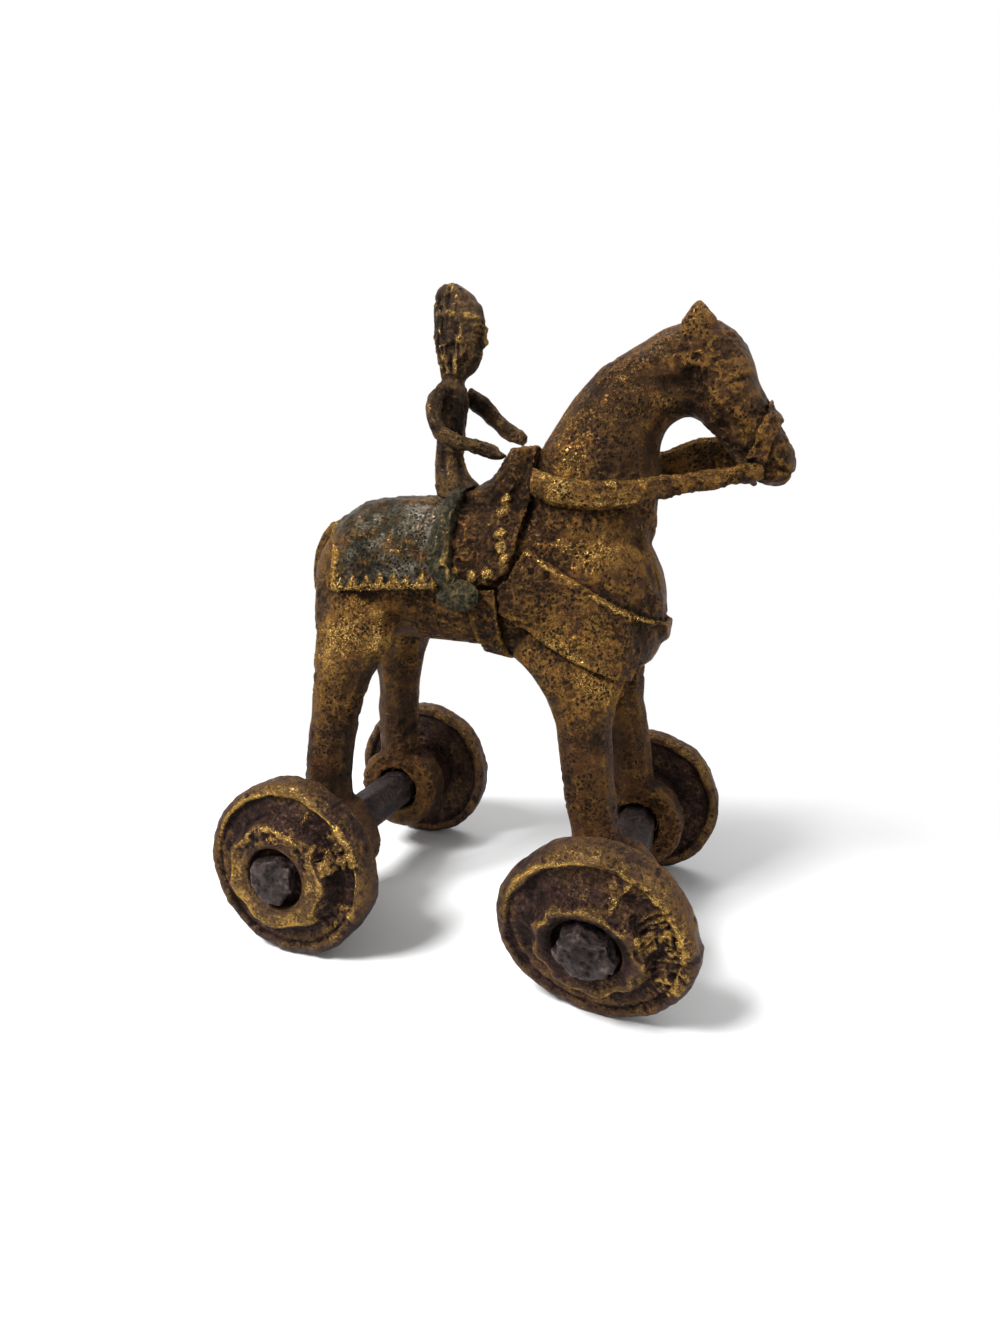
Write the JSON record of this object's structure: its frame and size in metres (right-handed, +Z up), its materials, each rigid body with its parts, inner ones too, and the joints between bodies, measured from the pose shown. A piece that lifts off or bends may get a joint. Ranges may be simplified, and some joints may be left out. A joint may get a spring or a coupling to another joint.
{
  "type": "brass horse on wheels toy",
  "caption": "Cast brass horse with a rider, saddle and reins, a pull-along toy on wheels that turn on loose iron axles.",
  "frame": {"origin": "on the ground, under the middle of the whole toy", "axes": "+X the way the horse faces, +Y the horse's left side, +Z up"},
  "size_m": [0.1224, 0.0894, 0.1513],
  "materials": {
    "horse_brass": "old cast brass, brown patina in the hollows, rubbed golden on the high places",
    "tack_brass": "cast brass, rubbed brighter than the body",
    "cloth_brass": "cast brass with a grey-green film and a golden zigzag hem",
    "rider_brass": "dark cast brass with dirt in the hollows",
    "wheel_brass": "cast brass, dark violet-brown field and rubbed golden relief",
    "axle_iron": "forged iron, dark and pitted"
  },
  "bodies": {
    "casting": {"horse_body": "horse_brass", "tail": "horse_brass", "saddle_cloth": "cloth_brass", "saddle": "tack_brass", "girth_strap": "tack_brass", "breast_strap": "tack_brass", "noseband": "tack_brass", "rein_right": "tack_brass", "rein_left": "tack_brass", "rider_body": "rider_brass", "rider_arm_right": "rider_brass", "rider_arm_left": "rider_brass", "rider_leg_right": "rider_brass", "rider_leg_left": "rider_brass"},
    "front_axle_bar": {"front_axle": "axle_iron"},
    "rear_axle_bar": {"rear_axle": "axle_iron"},
    "front_left_wheel": {"wheel_front_left": "wheel_brass"},
    "front_right_wheel": {"wheel_front_right": "wheel_brass"},
    "rear_left_wheel": {"wheel_rear_left": "wheel_brass"},
    "rear_right_wheel": {"wheel_rear_right": "wheel_brass"}
  },
  "joints": [
    {"name": "front_axle_turn", "type": "hinge", "parent": "casting", "child": "front_axle_bar", "pos_m": [0.03055, 0, 0.0204], "axis": [0, 1, 0], "continuous": true},
    {"name": "rear_axle_turn", "type": "hinge", "parent": "casting", "child": "rear_axle_bar", "pos_m": [-0.03975, 0, 0.021], "axis": [0, 1, 0], "continuous": true},
    {"name": "front_left_wheel_spin", "type": "hinge", "parent": "front_axle_bar", "child": "front_left_wheel", "pos_m": [0.03055, 0.03525, 0.0204], "axis": [0, 1, 0], "continuous": true},
    {"name": "front_right_wheel_spin", "type": "hinge", "parent": "front_axle_bar", "child": "front_right_wheel", "pos_m": [0.03055, -0.03525, 0.0204], "axis": [0.068, 0.972, 0.225], "continuous": true},
    {"name": "rear_left_wheel_spin", "type": "hinge", "parent": "rear_axle_bar", "child": "rear_left_wheel", "pos_m": [-0.03975, 0.03525, 0.021], "axis": [0, 1, 0], "continuous": true},
    {"name": "rear_right_wheel_spin", "type": "hinge", "parent": "rear_axle_bar", "child": "rear_right_wheel", "pos_m": [-0.03975, -0.03525, 0.021], "axis": [0, 1, 0], "continuous": true}
  ]
}
